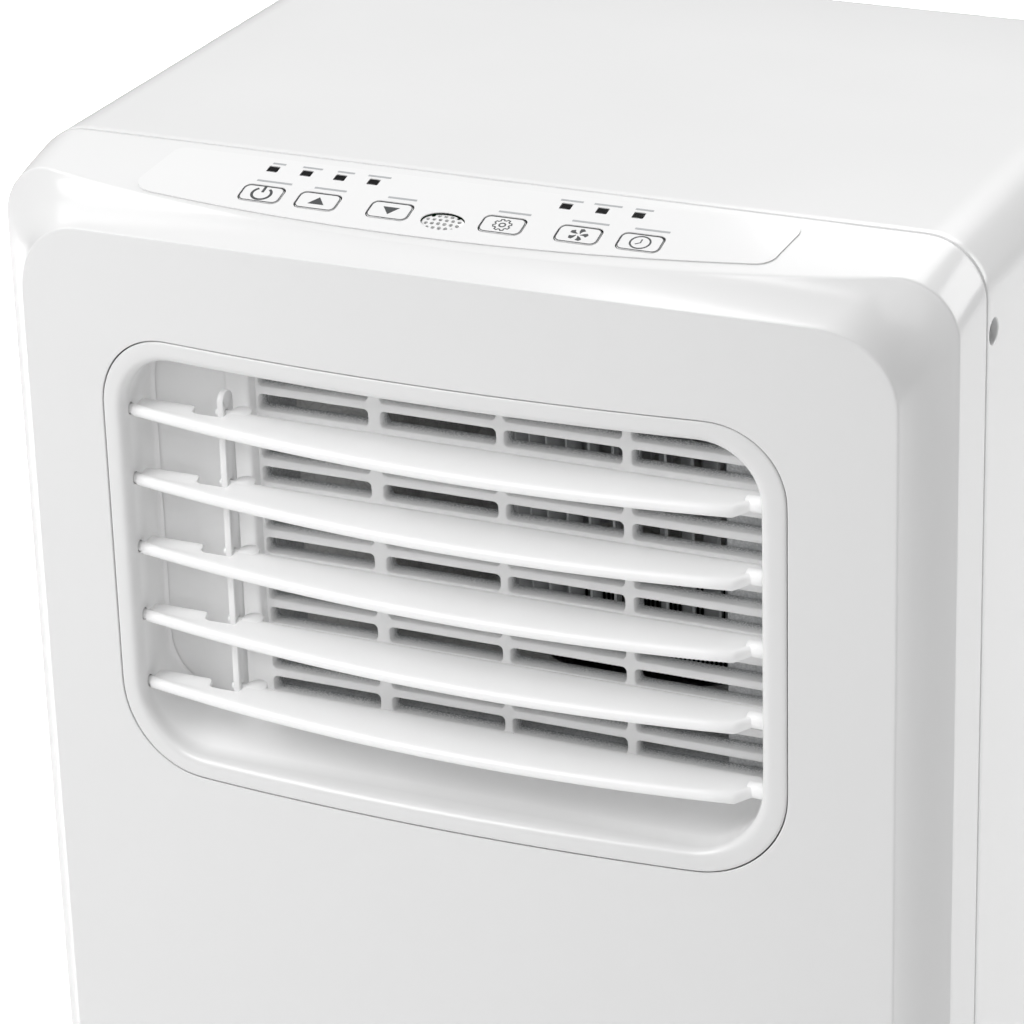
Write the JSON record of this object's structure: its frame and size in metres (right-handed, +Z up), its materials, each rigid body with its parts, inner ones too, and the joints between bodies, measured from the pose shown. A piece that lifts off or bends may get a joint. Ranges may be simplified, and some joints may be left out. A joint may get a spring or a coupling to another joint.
{
  "type": "portable air conditioner",
  "caption": "Compact portable air conditioner with a sloping control panel, tilting outlet louvres, rear intakes, hose collar and swivel casters.",
  "frame": {"origin": "centre of the bounding box on the floor", "axes": "+Z up, the front faces -Y, +X to the right of someone facing the front"},
  "size_m": [0.33, 0.28, 0.68],
  "materials": {
    "shell_white": "moulded white ABS, smooth gloss",
    "louvre_white": "moulded white ABS, smooth gloss",
    "panel_film": "clear-coated printed film on white plastic",
    "trim_white": "moulded white polypropylene, fine matt",
    "dark_plastic": "smoked acrylic",
    "filter_mesh": "woven nylon mesh in a plastic frame",
    "foam": "open-cell grey foam",
    "circuit_board": "glass-epoxy board with green solder mask",
    "zinc_steel": "zinc-plated steel",
    "fin_aluminium": "bare aluminium",
    "copper_tube": null,
    "black_paint": "black baked paint",
    "rubber_black": "dark moulded rubber or PVC",
    "moulded_foam": "expanded polystyrene"
  },
  "bodies": {
    "base": {"front_shell": "shell_white", "control_label": "panel_film", "sensor_cap": "panel_film", "led_guide_left": "dark_plastic", "led_guide_right": "dark_plastic", "control_board": "circuit_board", "vent_surround": "shell_white", "outlet_grille": "shell_white", "duct_foam": "foam", "rear_cabinet": "shell_white", "shell_screw_left": "zinc_steel", "shell_screw_right": "zinc_steel", "back_panel": "shell_white", "exhaust_collar": "trim_white", "base_pan": "trim_white", "drain_spout": "trim_white", "cord_bush": "rubber_black", "blower_housing": "moulded_foam", "blower_motor": "zinc_steel", "evaporator": "fin_aluminium", "drain_tray": "moulded_foam", "condenser": "fin_aluminium", "fan_housing": "trim_white", "fan_motor": "zinc_steel", "compressor": "black_paint", "accumulator": "black_paint", "discharge_pipe": "copper_tube", "suction_pipe": "copper_tube", "electrical_box": "zinc_steel", "run_capacitor": "fin_aluminium"},
    "louvre_1": {"louvre_1": "louvre_white"},
    "louvre_2": {"louvre_2": "louvre_white"},
    "louvre_3": {"louvre_3": "louvre_white"},
    "louvre_4": {"louvre_4": "louvre_white"},
    "louvre_5": {"louvre_5": "louvre_white"},
    "louvre_link": {"louvre_link": "louvre_white"},
    "button_power": {"button_power": "panel_film"},
    "button_up": {"button_up": "panel_film"},
    "button_down": {"button_down": "panel_film"},
    "button_mode": {"button_mode": "panel_film"},
    "button_speed": {"button_speed": "panel_film"},
    "button_timer": {"button_timer": "panel_film"},
    "blower_wheel": {"blower_wheel": "trim_white"},
    "condenser_fan": {"condenser_fan": "trim_white"},
    "intake_upper": {"intake_grille_upper": "shell_white", "filter_upper": "filter_mesh"},
    "intake_lower": {"intake_grille_lower": "shell_white", "filter_lower": "filter_mesh"},
    "drain_plug": {"drain_plug": "rubber_black"},
    "caster_1": {"caster_fork_1": "trim_white"},
    "wheel_1": {"caster_wheel_1": "rubber_black"},
    "caster_2": {"caster_fork_2": "trim_white"},
    "wheel_2": {"caster_wheel_2": "rubber_black"},
    "caster_3": {"caster_fork_3": "trim_white"},
    "wheel_3": {"caster_wheel_3": "rubber_black"},
    "caster_4": {"caster_fork_4": "trim_white"},
    "wheel_4": {"caster_wheel_4": "rubber_black"}
  },
  "joints": [
    {"name": "louvre_1_tilt", "type": "hinge", "parent": "base", "child": "louvre_1", "pos_m": [0, -0.1256, 0.5999], "axis": [1, 0, 0], "range_deg": [-30, 25]},
    {"name": "louvre_2_tilt", "type": "hinge", "parent": "base", "child": "louvre_2", "pos_m": [0, -0.1256, 0.5753], "axis": [1, 0, 0], "range_deg": [-30, 25]},
    {"name": "louvre_3_tilt", "type": "hinge", "parent": "base", "child": "louvre_3", "pos_m": [0, -0.1256, 0.5507], "axis": [1, 0, 0], "range_deg": [-30, 25]},
    {"name": "louvre_4_tilt", "type": "hinge", "parent": "base", "child": "louvre_4", "pos_m": [0, -0.1256, 0.5261], "axis": [1, 0, 0], "range_deg": [-30, 25]},
    {"name": "louvre_5_tilt", "type": "hinge", "parent": "base", "child": "louvre_5", "pos_m": [0, -0.1256, 0.5015], "axis": [1, 0, 0], "range_deg": [-30, 25]},
    {"name": "louvre_link_pivot", "type": "hinge", "parent": "louvre_1", "child": "louvre_link", "pos_m": [-0.082, -0.12017, 0.60076], "axis": [1, 0, 0], "range_deg": [-25, 30]},
    {"name": "button_power_press", "type": "slide", "parent": "base", "child": "button_power", "axis": [0, 0.2945, -0.9556], "range_m": [0, 0.0009], "stiffness_N_per_m": 400, "springref_m": -0.0002},
    {"name": "button_up_press", "type": "slide", "parent": "base", "child": "button_up", "axis": [0, 0.2964, -0.9551], "range_m": [0, 0.0009], "stiffness_N_per_m": 400, "springref_m": -0.0002},
    {"name": "button_down_press", "type": "slide", "parent": "base", "child": "button_down", "axis": [0, 0.2975, -0.9547], "range_m": [0, 0.0009], "stiffness_N_per_m": 400, "springref_m": -0.0002},
    {"name": "button_mode_press", "type": "slide", "parent": "base", "child": "button_mode", "axis": [0, 0.2977, -0.9547], "range_m": [0, 0.0009], "stiffness_N_per_m": 400, "springref_m": -0.0002},
    {"name": "button_speed_press", "type": "slide", "parent": "base", "child": "button_speed", "axis": [0, 0.2969, -0.9549], "range_m": [0, 0.0009], "stiffness_N_per_m": 400, "springref_m": -0.0002},
    {"name": "button_timer_press", "type": "slide", "parent": "base", "child": "button_timer", "axis": [0, 0.2953, -0.9554], "range_m": [0, 0.0009], "stiffness_N_per_m": 400, "springref_m": -0.0002},
    {"name": "blower_spin", "type": "hinge", "parent": "base", "child": "blower_wheel", "pos_m": [0.028, -0.0046, 0.56], "axis": [0, 0, 1], "continuous": true},
    {"name": "condenser_fan_spin", "type": "hinge", "parent": "base", "child": "condenser_fan", "pos_m": [-0.03, 0.0454, 0.172], "axis": [0, 1, 0], "continuous": true},
    {"name": "intake_upper_pull", "type": "slide", "parent": "base", "child": "intake_upper", "axis": [0, 1, 0], "range_m": [0, 0.03]},
    {"name": "intake_lower_pull", "type": "slide", "parent": "base", "child": "intake_lower", "axis": [0, 1, 0], "range_m": [0, 0.03]},
    {"name": "drain_plug_pull", "type": "slide", "parent": "base", "child": "drain_plug", "axis": [0, 1, 0], "range_m": [0, 0.02]},
    {"name": "caster_1_swivel", "type": "hinge", "parent": "base", "child": "caster_1", "pos_m": [-0.125, -0.0726, 0.038], "axis": [0, 0, 1], "continuous": true},
    {"name": "caster_1_roll", "type": "hinge", "parent": "caster_1", "child": "wheel_1", "pos_m": [-0.125, -0.0616, 0.017], "axis": [1, 0, 0], "continuous": true},
    {"name": "caster_2_swivel", "type": "hinge", "parent": "base", "child": "caster_2", "pos_m": [0.125, -0.0726, 0.038], "axis": [0, 0, 1], "continuous": true},
    {"name": "caster_2_roll", "type": "hinge", "parent": "caster_2", "child": "wheel_2", "pos_m": [0.125, -0.0616, 0.017], "axis": [1, 0, 0], "continuous": true},
    {"name": "caster_3_swivel", "type": "hinge", "parent": "base", "child": "caster_3", "pos_m": [-0.125, 0.1034, 0.038], "axis": [0, 0, 1], "continuous": true},
    {"name": "caster_3_roll", "type": "hinge", "parent": "caster_3", "child": "wheel_3", "pos_m": [-0.125, 0.1144, 0.017], "axis": [1, 0, 0], "continuous": true},
    {"name": "caster_4_swivel", "type": "hinge", "parent": "base", "child": "caster_4", "pos_m": [0.125, 0.1034, 0.038], "axis": [0, 0, 1], "continuous": true},
    {"name": "caster_4_roll", "type": "hinge", "parent": "caster_4", "child": "wheel_4", "pos_m": [0.125, 0.1144, 0.017], "axis": [1, 0, 0], "continuous": true}
  ],
  "couplings": [
    {"joint": "louvre_2_tilt", "follows": "louvre_1_tilt", "ratio": 1},
    {"joint": "louvre_3_tilt", "follows": "louvre_1_tilt", "ratio": 1},
    {"joint": "louvre_4_tilt", "follows": "louvre_1_tilt", "ratio": 1},
    {"joint": "louvre_5_tilt", "follows": "louvre_1_tilt", "ratio": 1},
    {"joint": "louvre_link_pivot", "follows": "louvre_1_tilt", "ratio": -1}
  ]
}
